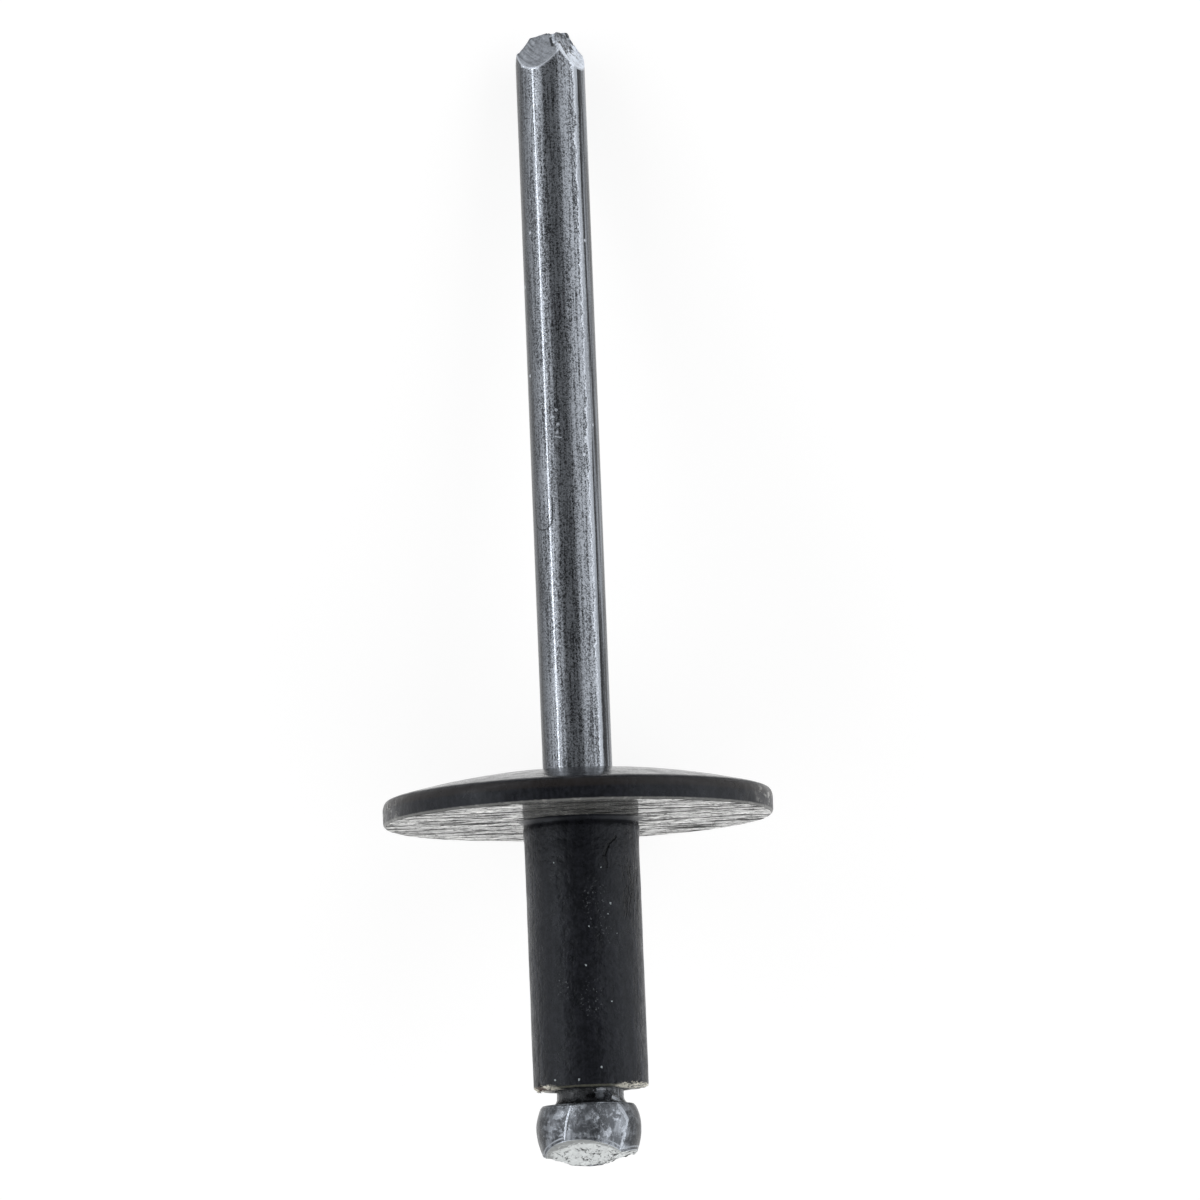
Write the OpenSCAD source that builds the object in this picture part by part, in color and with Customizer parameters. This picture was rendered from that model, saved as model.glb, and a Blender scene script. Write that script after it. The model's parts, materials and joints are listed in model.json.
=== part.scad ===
// Blind rivet with a wide, low domed flange, lying on a flat surface as it comes to rest.
// It is drawn upright about its own axis first: +Z runs to the point of the mandrel, Z = 0 is the
// seating face of the flange, and -Y is the side that faces up once the rivet lies down.
// It then lies on two spots, the rim of the flange and the lowest ridge of the mandrel's point.

/* [Flange] */
// Diameter of the flange over its paint
flange_d = 16.3; // [12:0.1:20]
// Height of the rim, from the seating face to where the dome meets its side
rim_h = 1.0; // [0.7:0.05:1.5]
// Rise of the dome from the rim to the middle
dome_rise = 1.1; // [0.3:0.05:1.6]
// Rounding of the rim's edge on the seating side
seat_edge_r = 0.17; // [0.05:0.01:0.3]
// Rounding of the rim's edge on the domed side
dome_edge_r = 0.4; // [0.1:0.01:0.45]

/* [Sleeve] */
// Outside diameter of the sleeve
sleeve_d = 4.8; // [4.4:0.1:5.6]
// Length of the sleeve below the seating face
sleeve_len = 11.2; // [8:0.1:16]
// Fillet between the sleeve and the seating face
root_fillet = 0.2; // [0.1:0.01:0.4]
// Rounding of the sleeve's outer edge at the tail
tail_edge_r = 0.2; // [0.05:0.01:0.4]
// Width and depth of the bevel at both ends of the bore
bore_bevel = 0.15; // [0.05:0.01:0.3]
// Sideways offset of the sleeve from the middle of the flange
sleeve_offset = 0.1; // [-0.2:0.05:0.2]

/* [Mandrel stem] */
// Diameter of the stem
stem_d = 2.9; // [2.4:0.05:3.2]
// Length of the stem beyond the top of the dome
stem_out = 31.2; // [22:0.1:40]
// Gap all round between the stem and the bore
bore_gap = 0.03; // [0.02:0.01:0.08]
// Sideways offset of the stem and its bore from the middle of the flange
stem_offset = 0.05; // [-0.2:0.05:0.2]
// Depth of the ring pressed into the stem, where a lip at the mouth of the bore keeps it
grip_depth = 0.12; // [0.06:0.01:0.2]
// Width of that ring along the stem
grip_width = 0.5; // [0.3:0.05:0.6]

/* [Mandrel point] */
// Number of facets pinched on the point
point_facets = 4; // [4:2:8]
// Length of each facet along the stem
point_len = 1.65; // [1:0.05:2.2]
// Angle of each facet to the stem
point_angle = 29.5; // [24:0.5:36]
// Turn of the ridge that faces up, seen from the head
point_turn = 16.5; // [-20:0.5:20]
// Slope of the small broken face on top of the point
point_break_slope = 9; // [0:1:15]

/* [Breaking neck] */
// Length of the bare neck between the tail of the sleeve and the head
neck_len = 0.62; // [0.4:0.02:1]
// How much slimmer the neck is than the stem, from a little inside the tail of the sleeve
neck_slim = 0.1; // [0.05:0.05:0.5]
// How far inside the tail the neck starts
neck_inset = 0.8; // [0.4:0.1:1.2]
// Flare of the neck where it meets the head
neck_flare = 0.25; // [0.1:0.01:0.35]
// Depth of the two crimped notches that the mandrel breaks at
notch_depth = 0.22; // [0.1:0.01:0.35]
// Turn of the notches round the mandrel
notch_turn = 24; // [0:1:90]

/* [Mandrel head] */
// Largest diameter of the head
head_d = 4.4; // [4:0.05:4.7]
// Diameter of the head at its shoulder, next to the neck
head_shoulder_d = 3.9; // [3.7:0.02:3.98]
// Diameter that the head narrows to at its end, before it is pinched off
head_end_d = 3.4; // [3:0.05:3.8]
// Distance from the shoulder to the largest diameter
head_belly = 0.92; // [0.7:0.02:1.2]
// Length of the head from its shoulder to its pinched end
head_len = 2.56; // [2.2:0.02:3]
// Sideways offset of the head from the middle of the flange
head_offset = -0.06; // [-0.2:0.02:0.2]
// Turn of the head's two broad facets
head_turn = -14; // [-45:1:45]
// Slope of the broad facets, from square across the head
broad_slope = 27; // [20:1:32]
// Height that the broad facets take up at the head's edge
broad_len = 1.05; // [0.7:0.01:1.1]
// Slope of the narrow facets, from square across the head
narrow_slope = 22; // [16:1:28]
// Height that the narrow facets take up at the head's edge
narrow_len = 0.6; // [0.4:0.01:0.65]

/* [Lying] */
// Turn about its own axis that the rivet has rolled to where it lies
lying_turn = -0.4; // [-4:0.1:4]

/* [Hidden] */

// Fineness of full circles
$fn = 96;
// Corners on each small rounding, and on the dome and the head's belly
edge_steps = 5;
curve_steps = 12;
// How far a cutting shape runs past what it cuts
past = 1;

flange_r = flange_d / 2;
sleeve_r = sleeve_d / 2;
stem_r = stem_d / 2;
bore_r = stem_r + bore_gap;
head_r = head_d / 2;
head_shoulder_r = head_shoulder_d / 2;
head_end_r = head_end_d / 2;
neck_r = (stem_d - neck_slim) / 2;

crown_z = rim_h + dome_rise;
tip_z = crown_z + stem_out;
facet_z = tip_z - point_len;
shoulder_z = -sleeve_len - neck_len;
belly_z = shoulder_z - head_belly;
head_end_z = shoulder_z - head_len;
grip_z = crown_z - bore_bevel - grip_width / 2;
// Edge of the blocks that cut the facets, wider than the head
block = 2 * (head_d + past);

// The dome is a shallow cap whose rounding to the side of the rim touches both
dome_r = (pow(flange_r, 2) + pow(dome_rise, 2)) / (2 * dome_rise);
dome_middle_z = crown_z - dome_r;
round_r = flange_r - dome_edge_r;
dome_slope = asin(round_r / (dome_r - dome_edge_r));
round_z = dome_middle_z + (dome_r - dome_edge_r) * cos(dome_slope);

// Where the two lower facets of the point meet the stem in a ridge
half_facet = 180 / point_facets;
ridge_z = facet_z + stem_r * (1 - cos(half_facet)) / tan(point_angle);
ridge_down = stem_r * cos(point_turn + lying_turn);

// Tilt of the axis when the rim's rounding and the ridge both touch the ground
span = [ridge_z - round_z, round_r - ridge_down];
rest_tilt = atan2(span[1], span[0]) + asin(dome_edge_r / norm(span));

// Height of the axis over the ground at the seating face, and the place of the middle
lift = ridge_down * cos(rest_tilt) + ridge_z * sin(rest_tilt);
break_r = (stem_r - point_len * tan(point_angle)) / cos(half_facet);
front_y = tip_z * cos(rest_tilt) + break_r * sin(rest_tilt);
back_y = head_end_z * cos(rest_tilt);
middle_y = (front_y + back_y) / 2;

// Points along an arc from angle a to angle b
function arc(centre, r, a, b, steps) = [
    for (i = [0:steps])
        let (t = a + (b - a) * i / steps)
        centre + r * [cos(t), sin(t)]
];

// Points of a bulge that is widest at height z_a, r_a from the axis, and meets z_b at r_b
function bulge(r_a, z_a, r_b, z_b, steps) = [
    for (i = [0:steps])
        let (t = i / steps)
        [r_a - (r_a - r_b) * t * t, z_a + (z_b - z_a) * t]
];

function reversed(points) = [for (i = [len(points) - 1:-1:0]) points[i]];

// The domed disc, solid in the middle
module flange_disc() {
    rotate_extrude()
        polygon(concat(
            [[0, 0]],
            arc([flange_r - seat_edge_r, seat_edge_r], seat_edge_r, -90, 0, edge_steps),
            arc([round_r, round_z], dome_edge_r, 0, 90 - dome_slope, edge_steps),
            arc([0, dome_middle_z], dome_r, 90 - dome_slope * (1 - 1 / curve_steps), 90, curve_steps)
        ));
}

// The sleeve without its bore, its top sunk into the disc
module sleeve_blank() {
    translate([sleeve_offset, 0, 0])
        rotate_extrude()
            polygon(concat(
                [[0, rim_h / 2], [0, -sleeve_len]],
                arc([sleeve_r - tail_edge_r, tail_edge_r - sleeve_len], tail_edge_r, -90, 0, edge_steps),
                arc([sleeve_r + root_fillet, -root_fillet], root_fillet, 180, 90, edge_steps),
                [[sleeve_r + root_fillet, rim_h / 2]]
            ));
}

// A ring just inside the mouth of the bore, shallower towards both ends: a groove of the stem, or
// the lip of the bore that sits in it
function grip_ring(r) = [
    [r, grip_z - grip_width / 2],
    [r - grip_depth, grip_z],
    [r, grip_z + grip_width / 2]
];

// The hole for the stem, bevelled where it opens in the dome and in the tail
module bore() {
    translate([stem_offset, 0, 0])
        rotate_extrude()
            polygon(concat(
                [[0, -sleeve_len - past]],
                [[bore_r + bore_bevel + past, -sleeve_len - past]],
                [[bore_r, bore_bevel - sleeve_len]],
                grip_ring(bore_r),
                [[bore_r, crown_z - bore_bevel]],
                [[bore_r + bore_bevel + past, crown_z + past]],
                [[0, crown_z + past]]
            ));
}

module rivet_body() {
    color([0.13, 0.13, 0.14])
        laid_down()
            difference() {
                union() {
                    flange_disc();
                    sleeve_blank();
                }
                bore();
            }
}

// A block that leaves a flat facet: the facet faces outwards at this turn and rises or falls by the
// given angle, and it passes through the height z at the distance r from the axis
module facet_block(turn, r, z, rise) {
    rotate([0, 0, turn - 90])
        translate([r, 0, z])
            rotate([0, -rise, 0])
                translate([0, -block / 2, -block / 2])
                    cube(block);
}

// The stem with its slimmer, flared neck, square at both ends
module stem_blank() {
    translate([stem_offset, 0, 0])
        rotate_extrude()
            polygon(concat(
                [[0, tip_z + past], [0, belly_z]],
                [[neck_r + neck_flare, belly_z]],
                arc([neck_r + neck_flare, shoulder_z + neck_flare], neck_flare, -90, -180, edge_steps),
                [[neck_r, neck_inset - sleeve_len]],
                [[stem_r, neck_inset - sleeve_len + stem_r - neck_r]],
                grip_ring(stem_r),
                [[stem_r, tip_z + past]]
            ));
}

// The pinched point: equal facets all round, and the sloping face that broke off last
module point_cuts() {
    translate([stem_offset, 0, 0]) {
        for (i = [0:point_facets - 1])
            facet_block(point_turn + half_facet * (2 * i + 1), stem_r, facet_z, point_angle);
        translate([0, 0, tip_z])
            rotate([0, -point_break_slope, 0])
                translate([-block / 2, -block / 2, 0])
                    cube(block);
    }
}

// Two wedges that the crimping jaws press into the neck
module neck_notches() {
    wedge = neck_len / 2;
    translate([stem_offset, 0, -sleeve_len - neck_len / 2])
        for (side = [0, 180])
            rotate([0, 0, notch_turn + side - 90])
                translate([neck_r - notch_depth, 0, 0])
                    rotate([0, 45, 0])
                        translate([0, -stem_r, 0])
                            cube([wedge, stem_d, wedge]);
}

// The upset barrel, before its end is pinched off
module head_blank() {
    translate([head_offset, 0, 0])
        rotate_extrude()
            polygon(concat(
                [[0, head_end_z], [0, shoulder_z]],
                reversed(bulge(head_r, belly_z, head_shoulder_r, shoulder_z, curve_steps)),
                bulge(head_r, belly_z, head_end_r, head_end_z, curve_steps)
            ));
}

// The four facets of the pinched end, two broad and two narrow
module head_cuts() {
    translate([head_offset, 0, 0])
        for (side = [0, 180]) {
            facet_block(head_turn + side, head_r, head_end_z + broad_len, broad_slope - 90);
            facet_block(head_turn + side + 90, head_r, head_end_z + narrow_len, narrow_slope - 90);
        }
}

module mandrel() {
    color([0.5, 0.51, 0.53])
        laid_down()
            difference() {
                union() {
                    stem_blank();
                    head_blank();
                }
                point_cuts();
                neck_notches();
                head_cuts();
            }
}

// Lays the upright rivet on the ground, with the middle of its length at the origin
module laid_down() {
    translate([0, -middle_y, lift])
        rotate([-90 - rest_tilt, 0, 0])
            rotate([0, 0, lying_turn])
                children();
}

rivet_body();
mandrel();
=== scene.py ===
# %% [markdown]
# # A pop rivet, dressed in Blender
#
# A blind rivet is two pieces: a soft hollow body with a wide flange, painted black, and a steel
# mandrel that a tool pulls through it. The CAD model fixes every size. This file keeps those
# sizes and adds what CAD leaves out: the grain of drawn wire, torn metal at the pinched ends,
# and the slightly lumpy coat of paint.

# %% Load the frame
import json
import math

import bpy
from mathutils import Matrix, Vector


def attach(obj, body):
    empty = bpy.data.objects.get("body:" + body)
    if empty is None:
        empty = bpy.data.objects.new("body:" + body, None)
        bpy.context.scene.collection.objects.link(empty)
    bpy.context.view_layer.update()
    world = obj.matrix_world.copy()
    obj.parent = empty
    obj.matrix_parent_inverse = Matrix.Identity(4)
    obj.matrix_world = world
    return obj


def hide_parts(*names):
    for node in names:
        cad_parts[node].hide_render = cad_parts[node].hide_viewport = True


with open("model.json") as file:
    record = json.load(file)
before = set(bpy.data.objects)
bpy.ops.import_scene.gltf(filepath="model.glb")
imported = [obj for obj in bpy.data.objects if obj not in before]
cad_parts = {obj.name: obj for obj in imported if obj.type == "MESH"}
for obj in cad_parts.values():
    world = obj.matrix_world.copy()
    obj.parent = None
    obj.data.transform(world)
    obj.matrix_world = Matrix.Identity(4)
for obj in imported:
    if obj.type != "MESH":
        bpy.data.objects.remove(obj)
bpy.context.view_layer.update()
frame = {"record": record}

# %% [markdown]
# ## Where the rivet lies
#
# Both pieces are round, so they are easiest to model standing up, in millimetres, with the axis
# on Z and the seating face of the flange at Z = 0. The record of the CAD model says where two
# known places ended up: the middle of the stem and a spot on the seating face. Two places and
# one direction are enough to work out how the upright rivet was laid down.

# %% Find the lay from the record
MM = 0.001
STEM_OFFSET = 0.05
stem_mount, seat_mount = (
    next(m for m in frame["record"]["mounts"] if m["name"] == name)
    for name in ("stem", "flange_seat")
)
STEM_MOUNT_Z = 17.1753
SEAT_MOUNT_X = 5.2

along = Vector(stem_mount["axis"]).normalized()
seat_spot = Vector(seat_mount["pos_m"])
stem_foot = Vector(stem_mount["pos_m"]) - along * STEM_MOUNT_Z * MM
across = (seat_spot - stem_foot).normalized()
inward = along.cross(across)
origin = seat_spot - across * SEAT_MOUNT_X * MM
turned = Matrix((across, inward, along)).transposed()
LAY = Matrix.Translation(origin) @ turned.to_4x4() @ Matrix.Scale(MM, 4)
print("flange centre:", [round(v, 5) for v in origin], "axis:", [round(v, 4) for v in along])

# %% [markdown]
# ## The camera
#
# The view is the one a camera fitted to the outlines gave: a long lens, almost square to the
# stem and a little below the flange, so that a thin sliver of its underside shows.

# %% Place the camera
AIM = Vector((1.260, 0.0, 9.226))
TO_CAMERA = Vector((-0.00508, -0.99161, -0.12920))
IMAGE_UP = Vector((0.03896, -0.12930, 0.99083))
CAMERA_DISTANCE = 330.87
LENS = 238.0

back = (turned @ TO_CAMERA).normalized()
side = (turned @ IMAGE_UP).cross(back).normalized()
top = back.cross(side)
camera_data = bpy.data.cameras.new("camera")
camera_data.lens = LENS
camera_data.sensor_width = 36.0
camera_data.clip_start = 0.01
camera_data.clip_end = 20.0
camera = bpy.data.objects.new("camera", camera_data)
bpy.context.collection.objects.link(camera)
camera.matrix_world = Matrix.Translation(
    LAY @ (AIM + TO_CAMERA * CAMERA_DISTANCE)
) @ Matrix((side, top, back)).transposed().to_4x4()
bpy.context.scene.camera = camera
print("camera stands at", [round(v, 4) for v in camera.matrix_world.translation])

# %% [markdown]
# ## Helpers for round work
#
# A lathe turns a profile into a solid, and Blender's spin does the same. The profile starts as
# one corner, pushed along from point to point by extruding it, and is then spun about the axis.
# A start corner comes from a plane whose four corners are merged into one.

# %% Selection and lathe helpers
def only(piece):
    """Makes this the one selected, active object, in object mode."""
    if bpy.context.mode != "OBJECT":
        bpy.ops.object.mode_set(mode="OBJECT")
    bpy.ops.object.select_all(action="DESELECT")
    piece.select_set(True)
    bpy.context.view_layer.objects.active = piece


def pick_corners(piece, wanted):
    """Selects the corners that the test wants, and goes into edit mode. Returns how many."""
    only(piece)
    bpy.ops.object.mode_set(mode="EDIT")
    bpy.ops.mesh.select_mode(type="VERT")
    bpy.ops.mesh.select_all(action="DESELECT")
    bpy.ops.object.mode_set(mode="OBJECT")
    found = 0
    for corner in piece.data.vertices:
        if wanted(corner.co):
            corner.select = True
            found += 1
    bpy.ops.object.mode_set(mode="EDIT")
    return found


def pick_faces(piece, wanted):
    """Selects the faces that the test wants, and goes into edit mode. Returns how many."""
    only(piece)
    bpy.ops.object.mode_set(mode="EDIT")
    bpy.ops.mesh.select_mode(type="FACE")
    bpy.ops.mesh.select_all(action="DESELECT")
    bpy.ops.object.mode_set(mode="OBJECT")
    found = 0
    for face in piece.data.polygons:
        if wanted(face):
            face.select = True
            found += 1
    bpy.ops.object.mode_set(mode="EDIT")
    return found


def line_to(points, r, z, pitch):
    """Adds even steps of about the pitch from the last point of a profile to the next."""
    r0, z0 = points[-1]
    steps = max(1, round(math.hypot(r - r0, z - z0) / pitch))
    points += [(r0 + (r - r0) * i / steps, z0 + (z - z0) * i / steps) for i in range(1, steps + 1)]


def round_to(points, r, z, radius, start, end, steps):
    """Adds a rounding about (r, z), from one angle to another, in degrees."""
    for i in range(1, steps + 1):
        angle = math.radians(start + (end - start) * i / steps)
        points.append((r + radius * math.cos(angle), z + radius * math.sin(angle)))


def lathe(name, profile, steps):
    """Spins a profile of (radius, height) points about the Z axis into a mesh in millimetres."""
    bpy.ops.object.select_all(action="DESELECT")
    bpy.ops.mesh.primitive_plane_add(size=1.0, location=(0, 0, 0))
    piece = bpy.context.active_object
    piece.name = piece.data.name = name
    bpy.ops.object.mode_set(mode="EDIT")
    bpy.ops.mesh.select_all(action="SELECT")
    bpy.ops.mesh.merge(type="CENTER")
    bpy.ops.transform.translate(value=(profile[0][0], 0, profile[0][1]))
    for (r0, z0), (r1, z1) in zip(profile, profile[1:]):
        bpy.ops.mesh.extrude_region_move(
            TRANSFORM_OT_translate={"value": (r1 - r0, 0, z1 - z0)}
        )
    bpy.ops.mesh.select_all(action="SELECT")
    bpy.ops.mesh.spin(steps=steps, angle=2 * math.pi, center=(0, 0, 0), axis=(0, 0, 1))
    bpy.ops.mesh.select_all(action="SELECT")
    bpy.ops.mesh.remove_doubles(threshold=0.0005)
    bpy.ops.mesh.normals_make_consistent(inside=False)
    bpy.ops.object.mode_set(mode="OBJECT")
    print(name, "spun:", len(piece.data.vertices), "corners")
    return piece


def shift(piece, wanted, move):
    """Moves the corners that the test wants."""
    found = pick_corners(piece, wanted)
    if found:
        bpy.ops.transform.translate(value=move)
    bpy.ops.object.mode_set(mode="OBJECT")
    return found

# %% [markdown]
# ## Five finishes
#
# A face keeps the number of the material that it wears, so the materials are named before the
# modelling starts. Their nodes are filled in later.

# %% Name the finishes
wire_skin, pinched_skin, torn_skin, paint_skin, seat_skin = (
    bpy.data.materials.new(name)
    for name in ("bare_steel", "pinched_steel", "torn_steel", "black_paint", "pressed_paint")
)
print("finishes:", [m.name for m in bpy.data.materials])

# %% [markdown]
# ## The body
#
# The body is upset from aluminium in one blow: a low dome on a wide flange, with a hollow sleeve
# under it. All of its surfaces belong to one profile that closes on itself, from the mouth of
# the bore down through the tail, up the sleeve, out under the flange and back over the dome.

# %% Sizes of the body
FLANGE_R, RIM_H, DOME_RISE = 8.15, 1.0, 1.1
SEAT_EDGE_R, DOME_EDGE_R = 0.17, 0.4
SLEEVE_R, SLEEVE_LEN, SLEEVE_OFFSET = 2.4, 11.2, 0.1
ROOT_FILLET, TAIL_EDGE_R, BORE_BEVEL = 0.2, 0.2, 0.15
STEM_R, BORE_GAP = 1.45, 0.03
GRIP_DEPTH, GRIP_WIDTH = 0.12, 0.5

CROWN_Z = RIM_H + DOME_RISE
BORE_R = STEM_R + BORE_GAP
DOME_R = (FLANGE_R**2 + DOME_RISE**2) / (2 * DOME_RISE)
DOME_MIDDLE_Z = CROWN_Z - DOME_R
ROUND_R = FLANGE_R - DOME_EDGE_R
DOME_SLOPE = math.asin(ROUND_R / (DOME_R - DOME_EDGE_R))
ROUND_Z = DOME_MIDDLE_Z + (DOME_R - DOME_EDGE_R) * math.cos(DOME_SLOPE)
GRIP_Z = CROWN_Z - BORE_BEVEL - GRIP_WIDTH / 2
print("dome radius", round(DOME_R, 2), "mm, slope at the rim", round(math.degrees(DOME_SLOPE), 1))

# %% Turn the body on the lathe
MOUTH_R = BORE_R + 0.119


def dome_z(r):
    return DOME_MIDDLE_Z + math.sqrt(DOME_R**2 - r**2)


profile = [(MOUTH_R, dome_z(MOUTH_R))]
line_to(profile, BORE_R, CROWN_Z - BORE_BEVEL, 0.1)
line_to(profile, BORE_R - GRIP_DEPTH, GRIP_Z, 0.3)
line_to(profile, BORE_R, GRIP_Z - GRIP_WIDTH / 2, 0.3)
line_to(profile, BORE_R, BORE_BEVEL - SLEEVE_LEN, 1.5)
line_to(profile, BORE_R + BORE_BEVEL, -SLEEVE_LEN, 0.1)
line_to(profile, SLEEVE_R - TAIL_EDGE_R, -SLEEVE_LEN, 0.1)
round_to(profile, SLEEVE_R - TAIL_EDGE_R, TAIL_EDGE_R - SLEEVE_LEN, TAIL_EDGE_R, -90, 0, 6)
line_to(profile, SLEEVE_R, -0.90, 0.1)
line_to(profile, SLEEVE_R + 0.03, -0.50, 0.07)
line_to(profile, SLEEVE_R + 0.03, -0.36, 0.08)
line_to(profile, SLEEVE_R, -ROOT_FILLET, 0.08)
round_to(profile, SLEEVE_R + ROOT_FILLET, -ROOT_FILLET, ROOT_FILLET, 180, 90, 6)
line_to(profile, SLEEVE_R + ROOT_FILLET + 0.6, 0, 1.0)
line_to(profile, FLANGE_R - SEAT_EDGE_R, 0, 0.16)
round_to(profile, FLANGE_R - SEAT_EDGE_R, SEAT_EDGE_R, SEAT_EDGE_R, -90, 0, 6)
line_to(profile, FLANGE_R, ROUND_Z, 0.07)
round_to(profile, ROUND_R, ROUND_Z, DOME_EDGE_R, 0, 90 - math.degrees(DOME_SLOPE), 9)
DOME_ROWS = 36
for i in range(1, DOME_ROWS + 1):
    r = profile[-1][0] + (MOUTH_R - profile[-1][0]) / (DOME_ROWS + 1 - i)
    profile.append((r, dome_z(r)))
profile[-1] = profile[0]
body = lathe("rivet_body_skin", profile, 192)

# %% [markdown]
# Nothing that is cold formed is perfectly centred. The sleeve sits a little to one side of the
# flange and the bore to one side of both, so those rings are moved over as sets.

# %% Move the sleeve and the bore off centre
def radius(co):
    return math.hypot(co.x, co.y)


moved_sleeve = shift(
    body,
    lambda co: co.z < 0.001
    and SLEEVE_R - TAIL_EDGE_R - 0.001 < radius(co) < SLEEVE_R + ROOT_FILLET + 0.001,
    (SLEEVE_OFFSET, 0, 0),
)
moved_bore = shift(body, lambda co: radius(co) < BORE_R + BORE_BEVEL + 0.01, (STEM_OFFSET, 0, 0))
print("moved", moved_sleeve, "corners of the sleeve and", moved_bore, "of the bore")

# %% [markdown]
# ## The mandrel
#
# The mandrel is drawn steel wire. Its head was upset into a barrel, its neck was crimped so that
# it breaks there, and both of its ends were pinched off between jaws, which left flat facets.
# The three parts are turned with the same number of steps, so that their edges meet when they
# are joined.

# %% Sizes of the mandrel
STEM_OUT = 31.2
POINT_LEN, POINT_ANGLE, POINT_TURN, BREAK_SLOPE = 1.65, 29.5, 16.5, 9.0
NECK_LEN, NECK_R, NECK_INSET, NECK_FLARE = 0.62, 1.4, 0.8, 0.32
NOTCH_DEPTH, NOTCH_TURN = 0.22, 24.0
HEAD_R, SHOULDER_R, HEAD_END_R = 2.2, 1.95, 1.7
HEAD_BELLY, HEAD_LEN, HEAD_OFFSET, HEAD_TURN = 0.92, 2.56, -0.06, -14.0
BROAD_SLOPE, BROAD_LEN, NARROW_SLOPE, NARROW_LEN = 27.0, 1.05, 22.0, 0.6

TIP_Z = CROWN_Z + STEM_OUT
FACET_Z = TIP_Z - POINT_LEN
SHOULDER_Z = -SLEEVE_LEN - NECK_LEN
BELLY_Z = SHOULDER_Z - HEAD_BELLY
HEAD_END_Z = SHOULDER_Z - HEAD_LEN
WIRE_STEPS = 144
POINT_SEAM_Z = FACET_Z - 0.25
HEAD_SEAM_Z = -SLEEVE_LEN + NECK_INSET

# %% Turn the point, the stem and the head
profile = [(0, TIP_Z + 0.4), (STEM_R, TIP_Z + 0.4)]
line_to(profile, STEM_R, POINT_SEAM_Z, 0.07)
point = lathe("point", profile, WIRE_STEPS)

profile = [(STEM_R, POINT_SEAM_Z)]
line_to(profile, STEM_R, GRIP_Z + GRIP_WIDTH / 2, 0.3)
line_to(profile, STEM_R - GRIP_DEPTH, GRIP_Z, 0.3)
line_to(profile, STEM_R, GRIP_Z - GRIP_WIDTH / 2, 0.3)
line_to(profile, STEM_R, HEAD_SEAM_Z + STEM_R - NECK_R, 0.6)
line_to(profile, NECK_R, HEAD_SEAM_Z, 0.1)
stem = lathe("stem", profile, WIRE_STEPS)

profile = [(NECK_R, HEAD_SEAM_Z)]
line_to(profile, NECK_R, SHOULDER_Z + NECK_FLARE, 0.03)
round_to(profile, NECK_R + NECK_FLARE, SHOULDER_Z + NECK_FLARE, NECK_FLARE, 180, 270, 7)
line_to(profile, SHOULDER_R - 0.04, SHOULDER_Z, 0.1)
BULGE_ROWS = 14
for i in range(BULGE_ROWS + 1):
    t = 1 - i / BULGE_ROWS
    z = BELLY_Z + HEAD_BELLY * t - (0.04 if i == 0 else 0)
    profile.append((HEAD_R - (HEAD_R - SHOULDER_R) * t * t, z))
TAPER_ROWS = 26
for i in range(1, TAPER_ROWS + 1):
    t = i / TAPER_ROWS
    profile.append((HEAD_R - (HEAD_R - HEAD_END_R) * t * t, BELLY_Z + (HEAD_END_Z - BELLY_Z) * t))
profile.append((0, HEAD_END_Z))
head = lathe("head", profile, WIRE_STEPS)

for part, offset, wanted in (
    (point, STEM_OFFSET, lambda co: True),
    (stem, STEM_OFFSET, lambda co: True),
    (head, HEAD_OFFSET, lambda co: radius(co) > NECK_R + NECK_FLARE + 0.001 or co.z < SHOULDER_Z - 0.001),
    (head, STEM_OFFSET, lambda co: co.z > SHOULDER_Z - 0.001 and radius(co) < NECK_R + NECK_FLARE + 0.001),
):
    shift(part, wanted, (offset, 0, 0))

# %% [markdown]
# ### Pinched facets
#
# A pair of jaws closes on the wire and shears it off. Bisect does the same: it cuts along a
# plane, throws away what is outside and closes the cut with a new face. The new face is left
# selected, so it can be given its own finish at once.

# %% Cut the facets
def facing(turn, rise=0.0):
    """The direction that faces outwards at this turn from the side that lies upwards."""
    turn, rise = math.radians(turn), math.radians(rise)
    return Vector((math.sin(turn) * math.cos(rise), -math.cos(turn) * math.cos(rise), math.sin(rise)))


def pinch(piece, place, normal):
    """Cuts off all that lies outside a plane, and puts the new face in the second slot."""
    only(piece)
    bpy.ops.object.mode_set(mode="EDIT")
    bpy.ops.mesh.select_mode(type="FACE")
    bpy.ops.mesh.select_all(action="SELECT")
    bpy.ops.mesh.bisect(
        plane_co=place, plane_no=normal, use_fill=True, clear_outer=True, threshold=1e-5
    )
    piece.active_material_index = 1
    bpy.ops.object.material_slot_assign()
    bpy.ops.object.mode_set(mode="OBJECT")


point_planes = [
    (facing(turn) * STEM_R + Vector((STEM_OFFSET, 0, FACET_Z)), facing(turn, POINT_ANGLE))
    for turn in (POINT_TURN + 45, POINT_TURN + 135, POINT_TURN + 225, POINT_TURN + 315)
]
point_planes.append((Vector((STEM_OFFSET, 0, TIP_Z)), facing(-90, 90 - BREAK_SLOPE)))
head_planes = [
    (facing(turn) * HEAD_R + Vector((HEAD_OFFSET, 0, HEAD_END_Z + length)), facing(turn, slope - 90))
    for turn, slope, length in (
        (HEAD_TURN, BROAD_SLOPE, BROAD_LEN),
        (HEAD_TURN + 180, BROAD_SLOPE, BROAD_LEN),
        (HEAD_TURN + 90, NARROW_SLOPE, NARROW_LEN + 0.08),
        (HEAD_TURN + 270, NARROW_SLOPE, NARROW_LEN),
    )
]
for piece, planes, skin in ((point, point_planes, pinched_skin), (head, head_planes, torn_skin)):
    piece.data.materials.append(wire_skin)
    piece.data.materials.append(skin)
    for place, normal in planes:
        pinch(piece, place, normal)
    print(piece.name, "cut faces:", sum(f.material_index == 1 for f in piece.data.polygons))

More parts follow.
